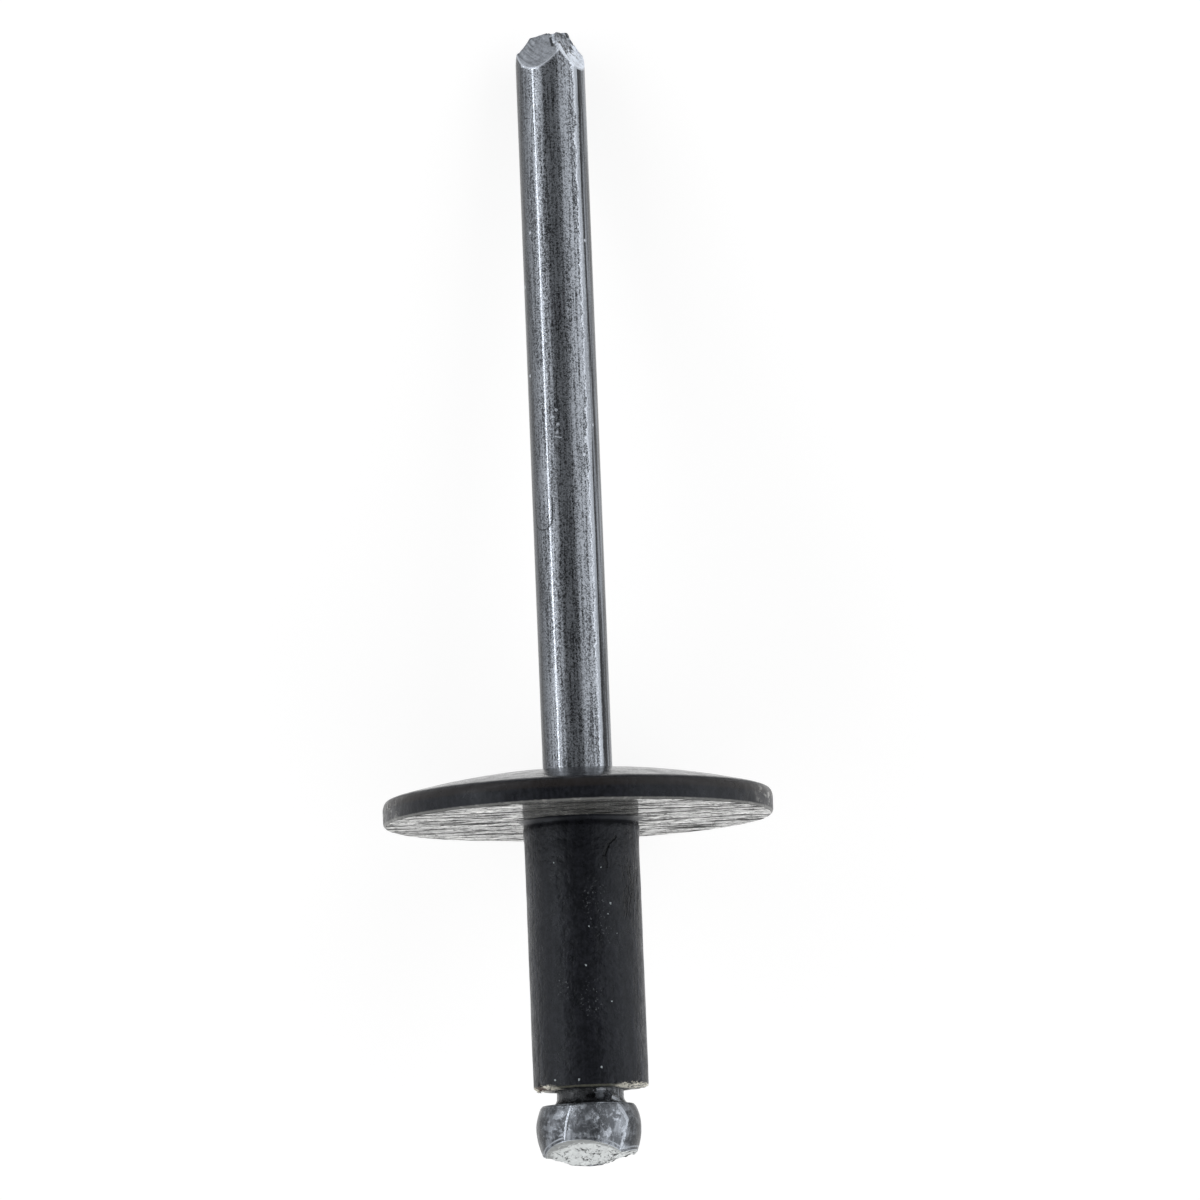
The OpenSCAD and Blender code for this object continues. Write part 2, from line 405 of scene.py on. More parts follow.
# %% [markdown]
# A cut face is one flat polygon, and torn metal is rough. More bisects, through the cut faces
# alone, lay a fine net over them. The rest is hidden meanwhile, so it isn't cut.

# %% Lay a net over the cut faces
def steps_between(low, high, pitch):
    return [low + (i + 0.5) * pitch for i in range(int((high - low) / pitch))]


def net(piece, middle, turn, reach, heights, pitch):
    """Cuts the faces in the second slot along lines in two directions, and at some heights."""
    only(piece)
    bpy.ops.object.mode_set(mode="EDIT")
    bpy.ops.mesh.select_all(action="DESELECT")
    piece.active_material_index = 1
    bpy.ops.object.material_slot_select()
    bpy.ops.mesh.hide(unselected=True)
    planes = [(Vector((0, 0, z)), Vector((0, 0, 1))) for z in heights]
    for way in (facing(turn), facing(turn + 90)):
        planes += [(Vector((middle, 0, 0)) + way * d, way) for d in steps_between(-reach, reach, pitch)]
    for place, normal in planes:
        bpy.ops.mesh.select_all(action="SELECT")
        bpy.ops.mesh.bisect(plane_co=place, plane_no=normal, threshold=1e-5)
    bpy.ops.mesh.reveal(select=False)
    bpy.ops.object.mode_set(mode="OBJECT")
    print(piece.name, "net of", len(planes), "cuts:", len(piece.data.polygons), "faces")


net(point, STEM_OFFSET, POINT_TURN + 45, 1.5, steps_between(FACET_Z, TIP_Z, 0.11), 0.085)
net(head, HEAD_OFFSET, HEAD_TURN, 2.25, [], 0.095)

# %% [markdown]
# A Displace modifier with a cloud texture pushes the net in here and there. Its mid level is 1,
# so it only pushes inwards and nothing grows past its size. Single pulls with a soft reach then
# make the burr, the chipped corner and the crumpled side that this one has.

# %% Roughen and dent
def clouds(piece, name, size, depth, wanted):
    """Pushes the wanted corners in by up to the depth, in lumps of this size."""
    only(piece)
    texture = bpy.data.textures.new(name, "CLOUDS")
    texture.noise_scale = size
    texture.noise_depth = 2
    group = piece.vertex_groups.new(name=name)
    chosen = [v.index for v in piece.data.vertices if wanted(v.co)]
    group.add(chosen, 1.0, "REPLACE")
    bpy.ops.object.modifier_add(type="DISPLACE")
    push_in = piece.modifiers[-1]
    push_in.texture, push_in.texture_coords = texture, "LOCAL"
    push_in.vertex_group, push_in.mid_level, push_in.strength = name, 1.0, depth
    bpy.ops.object.modifier_apply(modifier=push_in.name)
    piece.vertex_groups.clear()
    print(name, "moved", len(chosen), "corners of", piece.name)


def pull(piece, spot, move, reach):
    """Moves the corner nearest to a spot, and its neighbours with it up to the reach."""
    spot = Vector(spot)
    nearest = min(piece.data.vertices, key=lambda v: (v.co - spot).length_squared).co.copy()
    pick_corners(piece, lambda co: (co - nearest).length < 1e-6)
    bpy.ops.transform.translate(
        value=move,
        use_proportional_edit=True,
        proportional_edit_falloff="SMOOTH",
        proportional_size=reach,
    )
    bpy.ops.object.mode_set(mode="OBJECT")


def out(turn, r, z, middle=0.0):
    """The place at this turn, distance from the middle and height."""
    return facing(turn) * r + Vector((middle, 0, z))


def under(planes, co):
    """How far inside a set of planes a place is. It is 0 on the nearest plane."""
    return -max((co - place).dot(normal) for place, normal in planes)


clouds(point, "crumple", 0.35, 0.07, lambda co: under(point_planes, co) < 0.01 and radius(co) < 1.34)
clouds(point, "grit", 0.11, 0.03, lambda co: under(point_planes, co) < 0.09 and radius(co) < 1.39)
clouds(head, "hammered", 0.8, 0.05, lambda co: co.z < SHOULDER_Z - 0.02)
clouds(head, "torn", 0.30, 0.10, lambda co: under(head_planes, co) < 0.06 and radius(co) < 1.80)
clouds(head, "torn_fine", 0.12, 0.04, lambda co: under(head_planes, co) < 0.20 and radius(co) < 1.90)
clouds(head, "neck_rough", 0.25, 0.03, lambda co: SHOULDER_Z + 0.02 < co.z < -SLEEVE_LEN + 0.2)

for spot, move, reach in (
    (out(106, 0.74, 33.40, STEM_OFFSET), (0.17, -0.02, 0.02), 0.50),
    (out(106, 1.09, 32.85, STEM_OFFSET), (0.08, -0.01, 0.0), 0.45),
    (out(16, 0.72, 33.30, STEM_OFFSET), (0.03, 0.02, -0.12), 0.34),
    (out(10, 1.02, 33.05, STEM_OFFSET), (-0.03, 0.09, -0.05), 0.20),
    (out(20, 0.90, 33.10, STEM_OFFSET), (0.03, -0.07, 0.02), 0.14),
    (out(-52, 1.45, 31.80, STEM_OFFSET), (-0.03, -0.03, -0.05), 0.15),
    (out(58, 0.85, 32.85, STEM_OFFSET), (-0.05, 0.06, -0.05), 0.22),
    (out(82, 1.00, 32.60, STEM_OFFSET), (-0.06, 0.03, -0.02), 0.18),
    (out(-25, 0.70, 32.90, STEM_OFFSET), (0.02, 0.04, -0.03), 0.30),
):
    pull(point, spot, move, reach)

# %% [markdown]
# The jaws that crimped the neck bit into it from two sides. Each ring of the neck that lies in a
# bite is squeezed flat there: the corners beyond the bottom of the bite are scaled to a line.

# %% Bite two notches into the neck
def squeeze(piece, way, wall, z, middle):
    """Flattens the corners of a ring that stick out further this way than the wall."""
    place = Vector((middle, 0, z)) + way * wall
    found = pick_corners(piece, lambda co: abs(co.z - z) < 1e-4 and (co - place).dot(way) > 0)
    if found:
        up = Vector((0, 0, 1))
        bpy.ops.transform.resize(
            value=(0, 1, 1),
            orient_type="GLOBAL",
            orient_matrix=Matrix((way, up.cross(way), up)),
            orient_matrix_type="GLOBAL",
            constraint_axis=(True, False, False),
            center_override=place,
        )
    bpy.ops.object.mode_set(mode="OBJECT")
    return found


squeezed = 0
bite_z = -SLEEVE_LEN - NECK_LEN / 2
for turn in (NOTCH_TURN, NOTCH_TURN + 180):
    for z in sorted({round(v.co.z, 5) for v in head.data.vertices if v.co.z > SHOULDER_Z + 0.04}):
        wall = STEM_R - 0.05 - NOTCH_DEPTH + abs(z - bite_z)
        if wall < NECK_R:
            squeezed += squeeze(head, facing(turn), wall, z, STEM_OFFSET)
print("squeezed", squeezed, "corners of the neck")

# %% [markdown]
# The three parts of the mandrel are joined, and the corners where they meet are merged.

# %% Join the mandrel
stem.data.materials.append(wire_skin)
only(stem)
point.select_set(True)
head.select_set(True)
bpy.ops.object.join()
mandrel = bpy.context.active_object
mandrel.name = mandrel.data.name = "mandrel_skin"
bpy.ops.object.mode_set(mode="EDIT")
bpy.ops.mesh.select_all(action="SELECT")
bpy.ops.mesh.remove_doubles(threshold=0.0005)
bpy.ops.mesh.normals_make_consistent(inside=False)
bpy.ops.object.mode_set(mode="OBJECT")
print("mandrel:", len(mandrel.data.polygons), "faces,", [m.name for m in mandrel.data.materials])

# %% [markdown]
# The coat of paint isn't even, and the lip of the tail is knocked in places. The seating face
# was pressed flat by the tool, so it takes a finish of its own.

# %% Uneven coat and a knocked tail
clouds(body, "coat", 1.6, 0.030, lambda co: radius(co) > BORE_R + 0.25 and co.z < RIM_H * 0.9)
clouds(body, "tail_lip", 0.4, 0.10, lambda co: co.z < -SLEEVE_LEN + 0.10 and radius(co) > SLEEVE_R - 0.4)
clouds(body, "rim_nicks", 0.5, 0.04, lambda co: radius(co) > FLANGE_R - 0.12)
for spot, move, reach in (
    (out(-62, 2.36, -11.12, SLEEVE_OFFSET), (0.05, 0.04, 0.10), 0.24),
    (out(58, 2.36, -11.12, SLEEVE_OFFSET), (-0.06, 0.04, 0.08), 0.26),
    (out(24, 2.38, -11.15, SLEEVE_OFFSET), (0.0, 0.03, 0.05), 0.18),
    (out(85, 2.40, -3.00, SLEEVE_OFFSET), (-0.05, 0.0, 0.0), 0.22),
    (out(85, 2.40, -5.90, SLEEVE_OFFSET), (-0.04, 0.0, 0.0), 0.26),
):
    pull(body, spot, move, reach)

body.data.materials.append(paint_skin)
body.data.materials.append(seat_skin)
pressed = pick_faces(
    body, lambda f: f.normal.z < -0.9 and radius(f.center) > SLEEVE_R + ROOT_FILLET + 0.1
)
body.active_material_index = 1
bpy.ops.object.material_slot_assign()
bpy.ops.object.mode_set(mode="OBJECT")
print("pressed faces:", pressed)

# %% [markdown]
# ## Laid down
#
# Both pieces are turned and moved to where the CAD model lies, and the move is applied, so each
# object stays at the origin with its place in its mesh. Each stands for its own CAD node.

# %% Lay both pieces down
def lay_down(piece, body_name, node):
    """Places an upright piece where the CAD model lies, and lets it stand for its node."""
    only(piece)
    bpy.ops.object.shade_smooth_by_angle(angle=math.radians(24))
    piece.matrix_world = LAY
    bpy.ops.object.transform_apply(location=True, rotation=True, scale=True)
    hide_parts(node)
    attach(piece, body_name)
    print(piece.name, "spans", [round(v * 1000, 2) for v in piece.dimensions], "mm")


lay_down(body, "root", "rivet_body")
lay_down(mandrel, "root", "mandrel")

# %% [markdown]
# ## Shader maths as plain sums
#
# A surface is more than one flat colour: drawn wire has lines, a torn face has grains and paint
# has lumps. Such patterns are sums on the place of each point. A small class keeps one socket,
# and a plus or a times sign between two of them adds the Math node that does the work.

# %% Fields and finishes
class Field:
    """A value that changes over a surface, and the sums that can be done on it."""

    def __init__(self, finish, socket):
        self.finish, self.socket = finish, socket

    def maths(self, operation, *values):
        return self.finish.node("ShaderNodeMath", {"operation": operation}, dict(enumerate(values)))

    def __add__(self, other):
        return self.maths("ADD", self, other)

    def __radd__(self, other):
        return self.maths("ADD", other, self)

    def __sub__(self, other):
        return self.maths("SUBTRACT", self, other)

    def __rsub__(self, other):
        return self.maths("SUBTRACT", other, self)

    def __mul__(self, other):
        return self.maths("MULTIPLY", self, other)

    def __rmul__(self, other):
        return self.maths("MULTIPLY", other, self)

    def __pow__(self, other):
        return self.maths("POWER", self, other)

    def __abs__(self):
        return self.maths("ABSOLUTE", self)

    def or_more(self, other):
        return self.maths("MAXIMUM", self, other)

    def or_less(self, other):
        return self.maths("MINIMUM", self, other)


class Finish:
    """A material, and one method that adds any node to it."""

    def __init__(self, skin):
        skin.use_nodes = True
        self.tree = skin.node_tree
        self.tree.nodes.clear()

    def node(self, kind, settings=None, sockets=None, out=0):
        """Adds a node: its settings first, then the values or links of its sockets."""
        node = self.tree.nodes.new(kind)
        for key, value in (settings or {}).items():
            setattr(node, key, value)
        for key, value in (sockets or {}).items():
            if isinstance(value, Field):
                self.tree.links.new(value.socket, node.inputs[key])
            else:
                node.inputs[key].default_value = value
        return Field(self, node.outputs[out])

    def parts(self, vector):
        """The three numbers of a vector."""
        return [self.node("ShaderNodeSeparateXYZ", None, {0: vector}, out) for out in range(3)]

    def stretched(self, vector, factors):
        return self.node("ShaderNodeVectorMath", {"operation": "MULTIPLY"}, {0: vector, 1: factors})

    def noise(self, vector, scale, detail=2.0, roughness=0.5, distortion=0.0):
        """Cloudy noise about 0.5, with this many lumps to the millimetre."""
        return self.node(
            "ShaderNodeTexNoise",
            None,
            {"Vector": vector, "Scale": scale, "Detail": detail, "Roughness": roughness, "Distortion": distortion},
        )

    def ramp(self, value, low, high, start=0.0, end=1.0):
        """Runs smoothly from start to end while the value runs from low to high."""
        return self.node(
            "ShaderNodeMapRange",
            {"interpolation_type": "SMOOTHSTEP"},
            {0: value, 1: low, 2: high, 3: start, 4: end},
        )

    def between(self, value, low, high, soft):
        """1 inside a band and 0 outside it, with soft edges."""
        return self.ramp(value, low - soft, low + soft) * self.ramp(value, high - soft, high + soft, 1.0, 0.0)

    def blend(self, share, first, second):
        """Mixes two colours."""
        return self.node("ShaderNodeMix", {"data_type": "RGBA"}, {0: share, 6: first, 7: second}, 2)

    def raised(self, height, normal=None):
        """Bump from a height in millimetres."""
        sockets = {"Height": height, "Distance": MM, "Strength": 1.0}
        if normal is not None:
            sockets["Normal"] = normal
        return self.node("ShaderNodeBump", None, sockets)

    def upright(self):
        """The place of each point on the standing rivet, in millimetres."""
        stand = turned.transposed()
        return self.node(
            "ShaderNodeMapping",
            {"vector_type": "POINT"},
            {
                "Vector": self.node("ShaderNodeTexCoord", None, None, 3),
                "Location": -(stand @ origin) / MM,
                "Rotation": stand.to_euler(),
                "Scale": (1 / MM, 1 / MM, 1 / MM),
            },
        )

    def surface(self, colour, metallic, roughness, normal, **others):
        """Ends the material in one shader."""
        sockets = {"Base Color": colour, "Metallic": metallic, "Roughness": roughness, "Normal": normal}
        sockets.update(others)
        shader = self.node("ShaderNodeBsdfPrincipled", None, sockets)
        self.ends_in(shader)

    def ends_in(self, shader, kind="ShaderNodeOutputMaterial"):
        output = self.tree.nodes.new(kind)
        self.tree.links.new(shader.socket, output.inputs["Surface"])

    def azimuth(self, x, y, middle):
        """The turn of each point about the axis, in degrees, 0 on the side that lies upwards."""
        return self.node("ShaderNodeMath", {"operation": "ARCTAN2"}, {0: x - middle, 1: y * -1.0}) * 57.2958

    def spot(self, a, b, place, size, soft=0.5):
        """1 on a round spot and 0 away from it, where a and b count along the surface."""
        apart = (a - place[0]) ** 2 + (b - place[1]) ** 2
        return self.ramp(apart, size**2 * soft, size**2, 1.0, 0.0)

    def stroke(self, a, b, start, end, width):
        """1 on a straight scratch from start to end and 0 away from it."""
        (a0, b0), (a1, b1) = start, end
        run, rise = a1 - a0, b1 - b0
        share = (((a - a0) * run + (b - b0) * rise) * (1 / (run**2 + rise**2))).or_more(0.0).or_less(1.0)
        apart = (a - a0 - share * run) ** 2 + (b - b0 - share * rise) ** 2
        return self.ramp(apart, width**2 * 0.1, width**2, 1.0, 0.0)


def tint(value, red=0.93, blue=1.11):
    """A cool grey of this brightness."""
    return (value * red, value, value * blue, 1.0)


def any_of(masks):
    """1 where any of the masks is 1."""
    whole = masks[0]
    for mask in masks[1:]:
        whole = whole.or_more(mask)
    return whole


print("shader helpers ready")

# %% [markdown]
# ### Drawn wire
#
# The die that draws a wire leaves long fine lines, and pickling leaves a wormy dark skin
# between them. Stretching a noise along the axis gives the lines and a small distorted noise
# gives the worms. Bands that run at one turn about the axis give a thin painted highlight line
# and a wider painted highlight band, which are also smoother. The brightness of the wire is
# painted by its turn as well, as painted shade down its middle and on its limbs. The crimped
# neck is painted dark as the shade under the tail, and the upset head is blotched, with
# painted shade and highlights by turn.

# %% Skin of the drawn wire
wire = Finish(wire_skin)
at = wire.upright()
x, y, z = wire.parts(at)
turn = wire.azimuth(x, y, STEM_OFFSET)
arc = turn * (STEM_R / 57.2958)

lines = wire.noise(wire.stretched(at, (1.0, 1.0, 0.035)), 9.0, 3.0, 0.65)
worms = wire.ramp(wire.noise(at, 12.5, 3.0, 0.60, 0.9), 0.42, 0.58)
grit = wire.ramp(wire.noise(at, 21.0, 2.0, 0.6), 0.40, 0.60)
patches = wire.ramp(wire.noise(wire.stretched(at, (1.0, 1.0, 0.35)), 1.4, 3.0, 0.6), 0.38, 0.62)
grooves = wire.ramp(wire.noise(wire.stretched(at, (1.0, 1.0, 0.02)), 7.0, 3.0, 0.6), 0.36, 0.64)
waver = wire.noise(wire.stretched(at, (0.0, 0.0, 1.0)), 0.9, 5.0, 0.78)

# Painted shade: the brightness of the stem is painted by its turn about the axis, darker down the middle of the
# upward side, towards both limbs and on the back.
back_side = wire.ramp(abs(turn), 110.0, 150.0)
front = (wire.ramp(turn, -66.0, -38.0, 0.25, 0.78) + wire.ramp(turn, -33.0, -25.0, 0.0, 0.17)) * wire.ramp(turn, 50.0, 53.0, 1.0, 0.70)
front = front * (1.0 - wire.between(turn, -16.0, 12.6, 2.0) * 0.17)
painted_light_flank = wire.ramp(turn, 47.0, 52.0).or_more(wire.ramp(turn, -80.0, -62.0, 0.6, 0.0))
front = front * (1.0 - wire.between(turn, 17.0, 39.0, 2.0) * 0.08)
stem_painted_shade = front * (1.0 - back_side) + back_side * 0.70
print("wire skin fields ready")

# %% Painted highlight band and line, scratches and flakes on the stem
# Painted highlights: a wide bright band with a brighter lip and a thin bright line run at fixed turns about the
# axis. The band is also raised a little, and both are made smoother.
highlight_band_edge = turn - (waver - 0.5) * 44.0 + (grit - 0.5) * 2.0
highlight_band = wire.ramp(highlight_band_edge, 39.6, 40.8) * wire.ramp(turn + (lines - 0.5) * 12.0, 48.5, 50.0, 1.0, 0.0)
highlight_band_lip = wire.between(highlight_band_edge, 39.8, 42.2, 0.4) * wire.ramp(turn, 44.0, 47.0, 1.0, 0.0)
thin_highlight_line = wire.between(turn + (waver - 0.5) * 2.0 + (worms - 0.5) * 1.0, -32.8, -29.9, 0.5)
thin_highlight_line = thin_highlight_line * wire.ramp(waver + worms * 0.12, 0.34, 0.56, 0.45, 1.0)
seam = wire.between(turn + (waver - 0.5) * 5.0, -2.4, -0.9, 0.7) * 0.5
on_stem = wire.ramp(z, -8.0, -7.5)
flakes = any_of(
    [
        wire.spot(arc, z + (grit - 0.5) * 0.05, (math.radians(t) * STEM_R, h), size)
        for t, h, size in (
            (-12.5, 17.09, 0.075), (-18.1, 16.80, 0.085), (-10.1, 16.49, 0.07), (-12.3, 16.16, 0.06),
            (-50.0, 24.70, 0.08), (-77.0, 22.50, 0.09), (-68.0, 18.70, 0.08), (36.6, 15.75, 0.10),
            (33.0, 15.2, 0.09), (54.0, 24.3, 0.08), (56.0, 16.5, 0.07), (-24.0, 9.4, 0.06),
        )
    ]
    + [wire.stroke(arc, z, (-0.38, 15.98), (-0.16, 15.92), 0.03)]
)
# A U-shaped tool mark: a shallow groove whose outline is painted darker, as its shade.
mark_arc = arc + math.radians(45) * STEM_R
mark_low = (z - 12.62).or_less(0.0)
mark_ring = abs((mark_arc**2 + mark_low**2) ** 0.5 - 0.5)
shaded_tool_mark = wire.ramp(mark_ring, 0.015, 0.05, 1.0, 0.0) * wire.ramp(z, 13.35, 13.5, 1.0, 0.0)
print("marks on the stem ready")

# %% Neck and head of the mandrel
head_turn = wire.azimuth(x, y, HEAD_OFFSET)
head_arc = head_turn * (2.1 / 57.2958)
neck = wire.ramp(z, SHOULDER_Z - 0.02, SHOULDER_Z + 0.08)
# Painted shade: the head is painted darker towards its limbs.
head_painted_shade = wire.ramp(abs(head_turn), 40.0, 70.0, 1.0, 0.50)
neck = neck * wire.ramp(z, -10.9, -10.6, 1.0, 0.0)
on_head = wire.ramp(z, SHOULDER_Z - 0.06, SHOULDER_Z + 0.04, 1.0, 0.0)
blotches = wire.ramp(wire.noise(wire.stretched(at, (1.0, 1.0, 0.8)), 1.7, 3.0, 0.62), 0.46, 0.60)
scuffs = wire.ramp(wire.noise(wire.stretched(at, (1.0, 1.0, 0.8)), 5.0, 4.0, 0.72), 0.48, 0.64)
smudges = wire.ramp(wire.noise(wire.stretched(at, (1.0, 1.0, 1.5)), 1.9, 3.0, 0.6), 0.54, 0.62)
neck_cuts = any_of(
    [
        wire.spot(arc + (scuffs - 0.5) * 0.22, (z + 11.34) * 0.75, (0.40, 0.0), 0.26, 0.1) * 0.8,
        wire.stroke(arc, z + (scuffs - 0.5) * 0.06, (0.95, -11.62), (1.40, -11.72), 0.10),
    ]
)
# Painted highlights on the head: a thin bright line on the left, raised a little, and a wider bright band on the
# right, at the turns of the highlights on the stem.
head_highlight_line = any_of(
    [
        wire.stroke(head_arc + (scuffs - 0.5) * 0.04, z, (-0.78, -11.95), (-0.94, -12.60), 0.085),
        wire.stroke(head_arc + (scuffs - 0.5) * 0.04, z, (-0.94, -12.60), (-1.06, -13.30), 0.070),
    ]
)
head_highlight_band = any_of(
    [
        wire.stroke(head_arc + (scuffs - 0.5) * 0.10, z, (1.40, -11.95), (1.66, -12.55), 0.15),
        wire.stroke(head_arc + (scuffs - 0.5) * 0.10, z, (1.66, -12.55), (1.44, -13.60), 0.12),
    ]
)
print("marks on the head ready")

# %% [markdown]
# A thin painted highlight runs where a facet meets the round wire, with a second one a little
# below it on the head. Its place follows from the same planes that cut the facets: it is where
# the wire is closest to one of them.

# %% Painted edge highlights, and the finish of the wire
def nearness(finish, x, y, z, planes):
    """The height above the nearest of some planes, in millimetres. Inside it is below 0."""
    heights = [
        x * normal.x + y * normal.y + z * normal.z - place.dot(normal) for place, normal in planes
    ]
    return any_of(heights)


# Painted highlight along the edges of the facets.
to_point = nearness(wire, x, y, z, point_planes)
point_edge_highlight = wire.ramp(to_point + (worms - 0.5) * 0.02, -0.050, -0.025)
to_head = nearness(wire, x, y, z, head_planes)
head_edge_highlight = (wire.ramp(to_head, -0.06, -0.03).or_more(wire.between(to_head, -0.17, -0.12, 0.02) * 0.7)) * on_head

drawn = wire.ramp(lines, 0.38, 0.62)
tone = 0.07 + worms * 0.36 + grit * 0.26 + drawn * 0.32 + patches * 0.08
# Painted shade: the flanks are painted darker, and only their fine grooves stay pale.
tone = tone * (1.0 - painted_light_flank * 0.70) + grooves * painted_light_flank * 0.60
stem_tone = wire.ramp(tone, 0.17, 0.93) * stem_painted_shade * 0.80
stem_tone = stem_tone.or_more(highlight_band * (0.46 + grooves * 0.34)).or_more(highlight_band_lip * 1.0).or_more(thin_highlight_line)
stem_tone = (stem_tone + seam * 0.12) * (1.0 - shaded_tool_mark * 0.75)
# Painted light on the head: lighter across the upward side and in a band just left of the middle.
head_painted_light = wire.between(head_turn, -22.0, 42.0, 10.0)
head_tone = (0.09 + blotches * 0.28 + scuffs * 0.20 + smudges * 0.40) * (0.84 + grooves * 0.3) * head_painted_shade
head_tone = head_tone * (0.76 + head_painted_light * 0.40) + head_painted_light * 0.070
head_tone = head_tone + wire.between(head_turn, -20.0, 4.0, 6.0) * 0.10
head_tone = head_tone.or_more(head_highlight_line * 1.1).or_more(head_highlight_band * 0.75).or_more(head_edge_highlight * 0.85)
# Painted shade: the neck is painted near black as the shade under the tail, and its grooves are painted pale only
# on its lit right side. The cuts are bright.
neck_lit_side = wire.ramp(turn, 12.0, 30.0)
neck_shade_and_marks = (0.02 + scuffs * 0.04 + neck_lit_side * grooves * 0.34).or_more(neck_cuts * 1.1)
tone = stem_tone * on_stem + head_tone * on_head + neck_shade_and_marks * neck
tone = tone.or_more(flakes * on_stem * 1.6).or_more(point_edge_highlight * 1.3)
colour = wire.blend(tone, tint(0.026), tint(0.50))
polish = highlight_band.or_more(thin_highlight_line)
wire.surface(
    colour,
    1.0 - flakes * 0.4 - neck * (0.45 + neck_cuts * 0.40),
    wire.ramp(worms + patches, 0.0, 2.0, 0.20, 0.30) - polish * 0.10 + on_head * 0.06,
    wire.raised(
        lines * 0.0030 + worms * 0.0014 + grit * 0.0007 + grooves * painted_light_flank * 0.003 + highlight_band * 0.006
        - shaded_tool_mark * 0.012 + flakes * 0.010 + neck_cuts * 0.02 + head_highlight_line * 0.02
        + (blotches + scuffs) * on_head * 0.006 + scuffs * neck * 0.015
    ),
)
print("bare steel:", len(wire.tree.nodes), "nodes")

# %% [markdown]
# ### Pinched point
#
# The jaws wiped the facets of the point flat and left fine curved drag lines on them. The side
# to the right folded and tore instead: bright smears beside pits that are painted black as
# their shade. A raised ridge is painted white as its highlight, a hollow and a crack are
# painted dark as their shade, and a painted highlight runs round the rim of the facets.

# %% Pinched steel
pinched = Finish(pinched_skin)
at = pinched.upright()
x, y, z = pinched.parts(at)
x = x - STEM_OFFSET
from_axis = (x**2 + y**2) ** 0.5
grain = pinched.noise(at, 8.0, 4.0, 0.7)
cloudy = pinched.ramp(pinched.noise(at, 2.4, 3.0, 0.6), 0.38, 0.62)
sweep = ((x - 0.9) ** 2 + (z - 33.9) ** 2) ** 0.5
drag = pinched.noise(
    pinched.node("ShaderNodeCombineXYZ", None, {0: sweep * 9.0, 1: x * 0.6, 2: z * 0.6}), 1.0, 3.0, 0.6
)
folded = pinched.ramp(x + (grain - 0.5) * 0.3, 0.22, 0.38) * pinched.ramp(y, 0.2, 0.6, 1.0, 0.0)
fold_lines = pinched.noise(pinched.stretched(at, (1.0, 1.0, 0.5)), 4.5, 4.0, 0.7, 1.6)
smear = folded * pinched.ramp(from_axis + (fold_lines - 0.5) * 1.1, 0.94, 1.06)
# Painted shade: the pits, and the crack below, are painted near black and dented a little.
shaded_pits = folded * pinched.ramp(fold_lines + grain * 0.4, 0.63, 0.68, 1.0, 0.0) * (1.0 - smear * 0.8)
# Painted highlight round the rim of the facets, with a slight raised burr.
burr_highlight = pinched.ramp(from_axis + (grain - 0.5) * 0.06, 1.40, 1.43)
front = pinched.ramp(y, 0.0, -0.4)
# Painted highlight on a raised ridge, and painted shade in a hollow beside it.
ridge_highlight = pinched.stroke(x + (grain - 0.5) * 0.08, z, (0.14, 33.30), (0.20, 32.78), 0.075) * front
hollow_shade = pinched.stroke(x + (grain - 0.5) * 0.10, z, (0.06, 32.98), (0.13, 32.62), 0.075) * front
crack_shade = pinched.stroke(x + (grain - 0.5) * 0.10, z, (1.04, 33.0), (1.26, 32.52), 0.07) * front
shaded_pits = shaded_pits.or_more(crack_shade)
scratches = pinched.ramp(pinched.noise(at, 14.0, 3.0, 0.65, 0.6), 0.42, 0.60)
tone = 0.38 + (drag - 0.5) * 1.25 + (grain - 0.5) * 0.65 + cloudy * 0.14 + scratches * 0.16
tone = tone * (1.0 - folded * 0.50) + folded * pinched.ramp(fold_lines, 0.47, 0.58) * 0.60
tone = tone.or_more(burr_highlight * 1.1) * (1.0 - shaded_pits * 0.9) * (1.0 - hollow_shade * 0.9)
ridge_highlight = ridge_highlight * pinched.ramp(grain, 0.42, 0.52, 0.35, 1.0)
white = (smear * (0.40 + scratches * 0.5 + pinched.ramp(fold_lines, 0.42, 0.55) * 0.5)).or_more(ridge_highlight).or_less(1.0)
pinched.surface(
    pinched.blend(white, pinched.blend(tone, tint(0.03), tint(0.50)), tint(0.88)),
    1.0 - white * 0.45,
    pinched.ramp(grain, 0.3, 0.7, 0.32, 0.48),
    pinched.raised(
        grain * 0.010 + drag * 0.012 + fold_lines * folded * 0.05 - shaded_pits * 0.05 + ridge_highlight * 0.04 + burr_highlight * 0.01
    ),
)
print("pinched steel:", len(pinched.tree.nodes), "nodes")

# %% [markdown]
# ### Torn end of the head
#
# The end of the head is a fresh break. It is pale and grainy like broken sugar, with pits that
# are painted black as their shade, and a smoother grey border runs round it where the metal
# bent over before it tore.

# %% Torn steel
torn = Finish(torn_skin)
at = torn.upright()
x, y, z = torn.parts(at)
from_axis = ((x - HEAD_OFFSET) ** 2 + y**2) ** 0.5
grain = torn.noise(at, 5.5, 5.0, 0.75, 0.6)
lumps = torn.noise(at, 2.2, 2.0, 0.5)
strands = torn.noise(torn.stretched(at, (0.5, 1.6, 1.6)), 7.0, 3.0, 0.6)
edge = ((x - 0.10) ** 2 + y**2) ** 0.5 + (lumps - 0.5) * 0.6
broken = torn.ramp(edge, 1.68, 1.86, 1.0, 0.0)
right = torn.ramp(x, -0.6, 0.8)
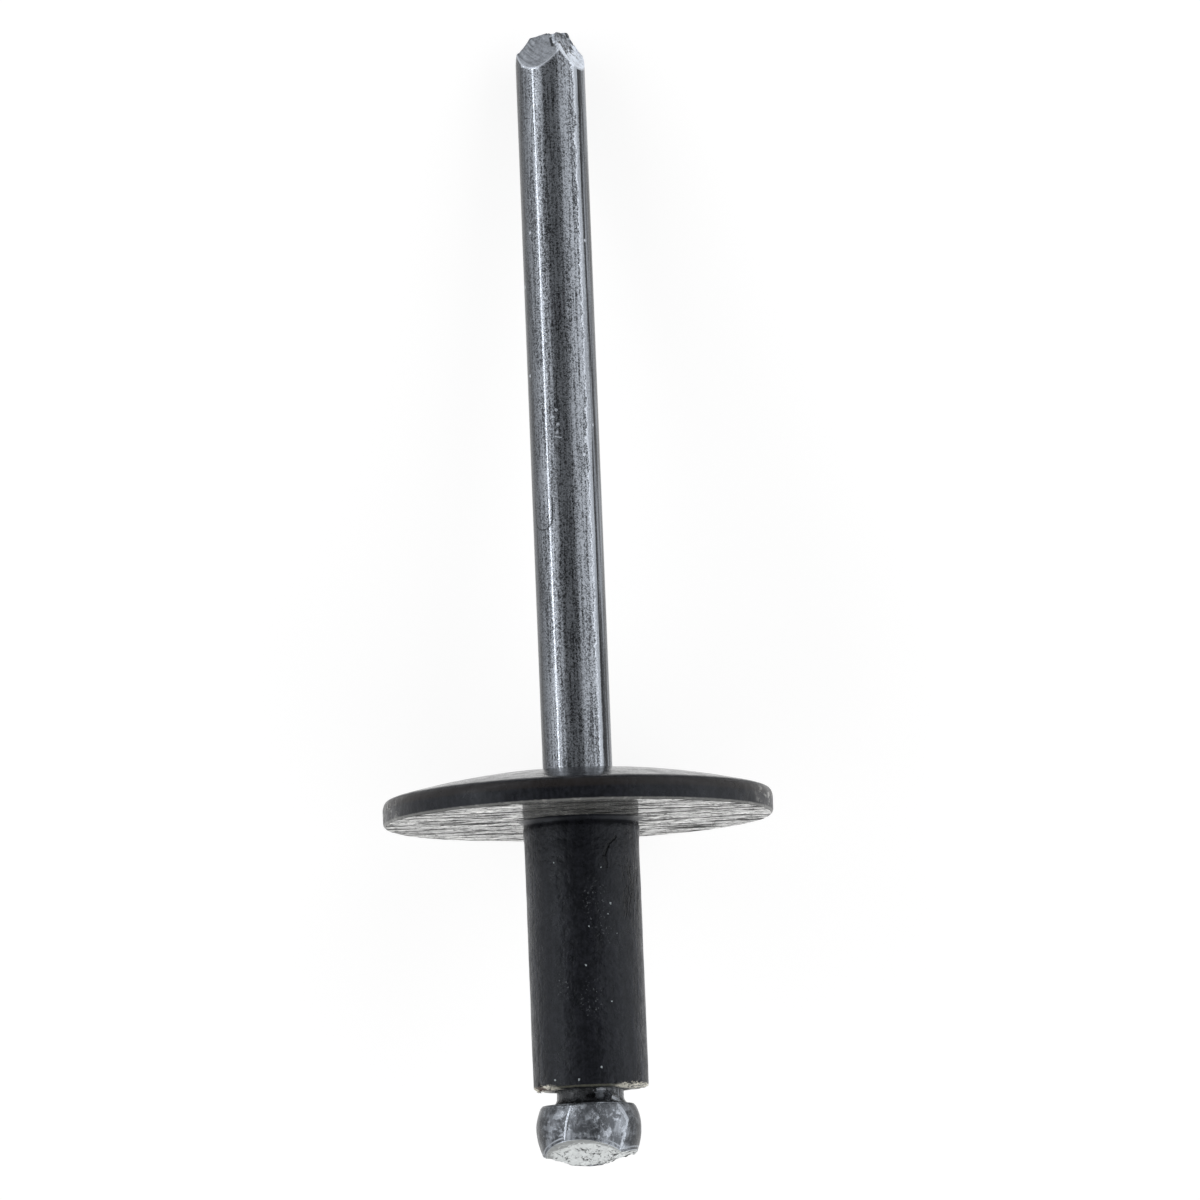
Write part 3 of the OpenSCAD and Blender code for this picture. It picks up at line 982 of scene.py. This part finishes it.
# Painted shade: the pits are painted near black, and dented a little.
shaded_pits = torn.ramp(grain + lumps * 0.45 - right * 0.075, 0.575, 0.625, 1.0, 0.0) * broken
rim = torn.between(edge, 1.74, 1.80, 0.03).or_more(torn.between(edge, 1.94, 1.98, 0.02) * 0.8)
tone = 0.20 + strands * 0.35
tone = tone * (1.0 - broken) + broken * (0.84 + (grain - 0.5) * 0.8)
tone = tone.or_more(rim * 0.85) * (1.0 - shaded_pits * 0.92)
torn.surface(
    torn.blend(tone, tint(0.02), (0.93, 0.96, 0.96, 1.0)),
    0.85 - broken * 0.15,
    torn.ramp(grain, 0.3, 0.7, 0.42, 0.60),
    torn.raised(grain * 0.06 + lumps * 0.04 + strands * 0.02 - shaded_pits * 0.06),
)
print("torn steel:", len(torn.tree.nodes), "nodes")

# %% [markdown]
# ### Black paint
#
# The coat is thick for such a small part. It lies in slight lumps, is brushed along the sleeve,
# catches dust, and holds the ring of a burst bubble near the flange, with fine cracks beside
# it. The ring and the cracks are painted black as their shadow, with a painted highlight on
# the lit side of the ring. The lumps and brushing are painted as a sheen, and the brush
# streaks on the two sides of the sleeve get a painted sheen as well. It is knocked off at the
# sharp lip of the tail and along the rim, where the pale first coat shows.

# %% Marks in the paint
paint = Finish(paint_skin)
at = paint.upright()
x, y, z = paint.parts(at)
turn = paint.azimuth(x, y, SLEEVE_OFFSET)
arc = turn * (SLEEVE_R / 57.2958)
from_axis = (x**2 + y**2) ** 0.5
lumps = paint.noise(at, 1.3, 2.0, 0.5)
orange = paint.noise(at, 3.6, 3.0, 0.6)
skin = paint.noise(at, 8.0, 3.0, 0.65)
brushed = paint.noise(paint.stretched(at, (1.0, 1.0, 0.07)), 5.0, 3.0, 0.6)
on_sleeve = paint.ramp(from_axis, SLEEVE_R + 0.25, SLEEVE_R + 0.35, 1.0, 0.0) * paint.ramp(z, -0.4, -0.1, 1.0, 0.0)
fine_dust = paint.ramp(paint.noise(at, 10.0, 3.0, 0.7), 0.60, 0.66)
cluster = any_of(
    [paint.spot(turn, z * 12.0, (t, h * 12.0), size, 0.1) for t, h, size in ((12, -3.6, 17), (20, -4.6, 12), (4, -7.6, 14), (-25, -7.0, 10))]
)
dust = fine_dust * (0.04 + cluster).or_less(1.0) + paint.ramp(paint.noise(at, 3.4, 4.0, 0.8), 0.76, 0.775)
specks = any_of(
    [
        paint.spot(arc + (orange - 0.5) * 0.2, z + (skin - 0.5) * 0.10, (math.radians(t) * SLEEVE_R, h), size * 0.8)
        for t, h, size in (
            (18.3, -2.17, 0.045), (27.5, -3.66, 0.08), (-0.5, -6.20, 0.06), (24.3, -7.71, 0.05),
            (-38.1, -10.85, 0.06), (-11.9, -10.90, 0.07), (11.3, -10.42, 0.07), (24.0, -4.1, 0.04),
            (33.0, -4.9, 0.04), (4.0, -4.6, 0.04), (-30.0, -1.9, 0.05),
        )
    ]
)
# Painted shadow and highlight: the ring of the burst bubble is painted black on its shaded side, and a pale stroke
# inside it is its painted highlight. They are dented and raised too.
wavy_arc = arc + (orange - 0.5) * 0.22
bubble_ring_shadow = any_of(
    [
        paint.stroke(wavy_arc, z, (1.50, -0.90), (1.12, -1.22), 0.07),
        paint.stroke(wavy_arc, z, (1.12, -1.22), (0.93, -1.65), 0.10),
        paint.stroke(wavy_arc, z, (0.93, -1.65), (1.02, -2.15), 0.07) * 0.7,
    ]
)
bubble_ring_highlight = paint.stroke(wavy_arc, z, (1.16, -1.40), (1.10, -2.10), 0.09) * 0.8
# Fine cracks, dented and painted black as their shade.
crack_line = paint.noise(paint.stretched(at, (1.0, 1.0, 0.22)), 4.0, 3.0, 0.6)
shaded_cracks = paint.ramp(abs(crack_line - 0.5), 0.012, 0.070, 1.0, 0.0) * paint.between(z, -4.2, -1.9, 0.5)
shaded_cracks = shaded_cracks * paint.between(turn, 44.0, 70.0, 4.0)
print("marks in the paint ready")

# %% Worn places and the finish of the paint
tail = paint.ramp(z + (skin - 0.5) * 0.30, -SLEEVE_LEN + 0.12, -SLEEVE_LEN + 0.20, 1.0, 0.0)
chips = paint.ramp(paint.noise(at, 3.0, 4.0, 0.7), 0.41, 0.47)
left_chip = paint.between(turn, -100.0, -44.0, 8.0)
right_chip = paint.between(turn, 34.0, 95.0, 8.0)
bare_lip = tail * chips * (left_chip + right_chip).or_less(1.0)
lip_line = paint.between(z + (skin - 0.5) * 0.05, -SLEEVE_LEN + 0.03, -SLEEVE_LEN + 0.09, 0.02) * on_sleeve
rust = bare_lip * paint.spot(turn, z * 10, (-70.0, -11.1 * 10), 9.0, 0.2)
rim_wear = paint.ramp(from_axis + (skin - 0.5) * 0.10, FLANGE_R - 0.14, FLANGE_R - 0.04)
rim_pits = paint.ramp(paint.noise(paint.stretched(at, (1.0, 1.0, 1.4)), 1.9, 5.0, 0.72), 0.54, 0.60)
ends = paint.ramp(abs(paint.azimuth(x, y, 0.0)), 60.0, 78.0)
low_edge = paint.between(z + (skin - 0.5) * 0.06, 0.03, 0.12, 0.03) * paint.ramp(from_axis, 7.9, 8.0)
worn_rim = (rim_wear * rim_pits * ends * 0.7).or_more(low_edge * 0.6 * (0.6 + rim_pits * 0.4))
brown = paint.between(z, 0.62, 0.95, 0.08) * paint.ramp(from_axis, 7.7, 7.9)

# Painted sheen: pale brush streaks only on the two sides of the sleeve, where they catch the light. They are also
# raised a little.
painted_light_flank = paint.ramp(abs(turn), 44.0, 66.0) * on_sleeve
streaks = paint.ramp(paint.noise(paint.stretched(at, (1.0, 1.0, 0.14)), 5.0, 4.0, 0.65), 0.50, 0.57) * painted_light_flank
# Painted sheen: the colour of the coat is lifted where its lumps and brushing catch the light, together with the
# ring's painted highlight and some dust.
painted_sheen_and_dust = paint.ramp(skin * 0.5 + brushed * 0.4 + orange * 0.6, 0.62, 0.92)
painted_sheen_and_dust = (painted_sheen_and_dust + bubble_ring_highlight * on_sleeve * 0.8 + cluster * fine_dust * 0.5).or_less(1.3)
colour = paint.blend(painted_sheen_and_dust, (0.0030, 0.0034, 0.0050, 1), (0.0120, 0.0126, 0.0170, 1))
colour = paint.blend(streaks * 0.55, colour, (0.050, 0.054, 0.066, 1))
colour = paint.blend(bubble_ring_shadow.or_more(shaded_cracks) * on_sleeve, colour, (0.001, 0.001, 0.0015, 1))
colour = paint.blend(brown * 0.6, colour, (0.022, 0.017, 0.014, 1))
colour = paint.blend((dust * 0.5).or_less(1.0), colour, (0.16, 0.17, 0.18, 1))
colour = paint.blend(specks, colour, (0.34, 0.38, 0.40, 1))
colour = paint.blend(lip_line * 0.45, colour, (0.22, 0.22, 0.17, 1))
colour = paint.blend(worn_rim, colour, (0.42, 0.42, 0.40, 1))
colour = paint.blend(bare_lip, colour, (0.86, 0.83, 0.73, 1))
colour = paint.blend(rust * 0.9, colour, (0.050, 0.012, 0.008, 1))
paint.surface(
    colour,
    0.0,
    paint.ramp(skin + lumps, 0.7, 1.3, 0.26, 0.42) + bare_lip * 0.2 - paint.ramp(z, 0.95, 1.05) * 0.18,
    paint.raised(
        lumps * 0.045 + orange * on_sleeve * 0.050 + skin * 0.0060 + brushed * on_sleeve * 0.012
        + streaks * 0.016 + specks * 0.02 + dust * 0.006
        - bubble_ring_shadow * 0.060 + bubble_ring_highlight * 0.05 - shaded_cracks * on_sleeve * 0.06 - bare_lip * 0.03 - worn_rim * 0.02
    ),
    **{"IOR": 1.31, "Specular Tint": (0.86, 0.92, 1.0, 1.0)},
)
print("black paint:", len(paint.tree.nodes), "nodes")

# %% [markdown]
# ### Pressed underside
#
# The seating face is seen almost edge on, so it mirrors the bright floor. Wavy drag marks from
# the pressing tool run across it, and the paint has run thin and is dented in small pits and
# crinkles, which are painted near black as their shade.

# %% Pressed paint
pressed = Finish(seat_skin)
at = pressed.upright()
x, y, z = pressed.parts(at)
waves = pressed.noise(pressed.stretched(at, (0.35, 1.0, 1.0)), 1.3, 4.0, 0.68, 0.6)
streaks = pressed.noise(pressed.stretched(at, (0.20, 1.0, 1.0)), 1.7, 5.0, 0.75, 0.4)
shaded_pits = pressed.ramp(pressed.noise(pressed.stretched(at, (0.5, 1.0, 1.0)), 2.6, 4.0, 0.65), 0.36, 0.41, 1.0, 0.0)
pale = pressed.ramp(waves, 0.50, 0.60)
thin = pressed.ramp(streaks, 0.46, 0.52) * (0.45 + pale * 0.55)
crinkle = pressed.noise(pressed.stretched(at, (0.45, 1.0, 1.0)), 2.4, 4.0, 0.65, 0.5)
shaded_pits = shaded_pits.or_more(pressed.ramp(abs(crinkle - 0.5), 0.008, 0.026, 1.0, 0.0))
colour = pressed.blend(thin, (0.012, 0.012, 0.010, 1), (0.86, 0.86, 0.82, 1))
# Painted shade: the pits and crinkles are painted near black.
colour = pressed.blend(shaded_pits, colour, (0.004, 0.004, 0.004, 1))
pressed.surface(
    colour,
    thin * (1.0 - shaded_pits),
    (pressed.ramp(streaks, 0.42, 0.50, 0.60, 0.05) + shaded_pits * 0.4).or_less(1.0),
    pressed.raised(waves * 0.010 + streaks * 0.006 - shaded_pits * 0.08),
    **{"IOR": 1.34},
)
print("pressed paint:", len(pressed.tree.nodes), "nodes")

# %% [markdown]
# ## Floor and light
#
# The photograph was taken in a plain light tent: white all round, darker overhead where the
# camera stands, with a soft panel on each side and one thin bright edge that draws the long
# highlight on the wire. The floor is pale. For the camera and for reflections it also glows, so
# that it reads as white while the shadow stays.

# %% Floor
bpy.ops.object.select_all(action="DESELECT")
bpy.ops.mesh.primitive_plane_add(size=6.0, location=(0, 0, 0))
floor = bpy.context.active_object
floor.name = "floor"
floor.data.materials.append(bpy.data.materials.new("pale_floor"))
pale = Finish(floor.data.materials[0])
seen = any_of(
    [
        pale.node("ShaderNodeLightPath", None, None, kind)
        for kind in ("Is Camera Ray", "Is Glossy Ray", "Is Transmission Ray")
    ]
)
lit = pale.node("ShaderNodeBsdfDiffuse", None, {"Color": (0.8, 0.8, 0.8, 1)})
shaded = pale.node("ShaderNodeBsdfDiffuse", None, {"Color": (0.30, 0.30, 0.30, 1)})
glow = pale.node("ShaderNodeEmission", None, {"Strength": 0.80})
both = pale.node("ShaderNodeAddShader", None, {0: shaded, 1: glow})
pale.ends_in(pale.node("ShaderNodeMixShader", None, {0: seen, 1: lit, 2: both}))
print("floor:", [round(v, 1) for v in floor.dimensions], "m")

# %% Light panels
def panel(name, start, end, radiance, distance=0.28, length=0.7):
    """A panel that runs along the rivet and reaches from one angle off the zenith to another."""
    a, b = (
        Vector((math.sin(math.radians(t)), 0, math.cos(math.radians(t)))) * distance for t in (start, end)
    )
    middle = (a + b) / 2
    data = bpy.data.lights.new(name, "AREA")
    data.shape = "RECTANGLE"
    data.size = (b - a).length
    data.size_y = length
    data.energy = math.pi * data.size * data.size_y * radiance
    lamp = bpy.data.objects.new(name, data)
    bpy.context.collection.objects.link(lamp)
    away = middle.normalized()
    lamp.matrix_world = Matrix.Translation(middle) @ Matrix(
        (Vector((0, 1, 0)).cross(away), Vector((0, 1, 0)), away)
    ).transposed().to_4x4()
    lamp.visible_camera = False
    print(name, "faces the rivet from", [round(v, 2) for v in middle])


panel("left_soft", -34, -86, 0.7)
panel("left_edge", -59, -63, 5.5, 0.27)
panel("right_soft", 28.5, 75, 0.95)
panel("right_low", 75, 87, 1.6)

# %% The tent all round
world = bpy.data.worlds.new("tent")
bpy.context.scene.world = world
tent = Finish(world)
across, _, up = tent.parts(tent.node("ShaderNodeTexCoord", None, None, 0))
overhead = tent.ramp(up, 0.0, 1.0, 0.62, 0.34)
low = tent.ramp(up, 0.05, 0.20, 1.0, 0.0) * tent.ramp(across, -0.9, 0.3, 0.25, 1.0)
camera_ray, glossy_ray, transmission_ray = (
    tent.node("ShaderNodeLightPath", None, None, kind)
    for kind in ("Is Camera Ray", "Is Glossy Ray", "Is Transmission Ray")
)
white = camera_ray.or_more(glossy_ray.or_more(transmission_ray) * low)
strength = overhead + (1.0 - overhead) * white
tent.ends_in(tent.node("ShaderNodeBackground", None, {"Strength": strength}), "ShaderNodeOutputWorld")

# %% [markdown]
# ## The view transform

# The box of the dressed rivet must stay inside the box of the CAD model.

# %% Use the standard view transform
bpy.context.scene.view_settings.view_transform = "Standard"
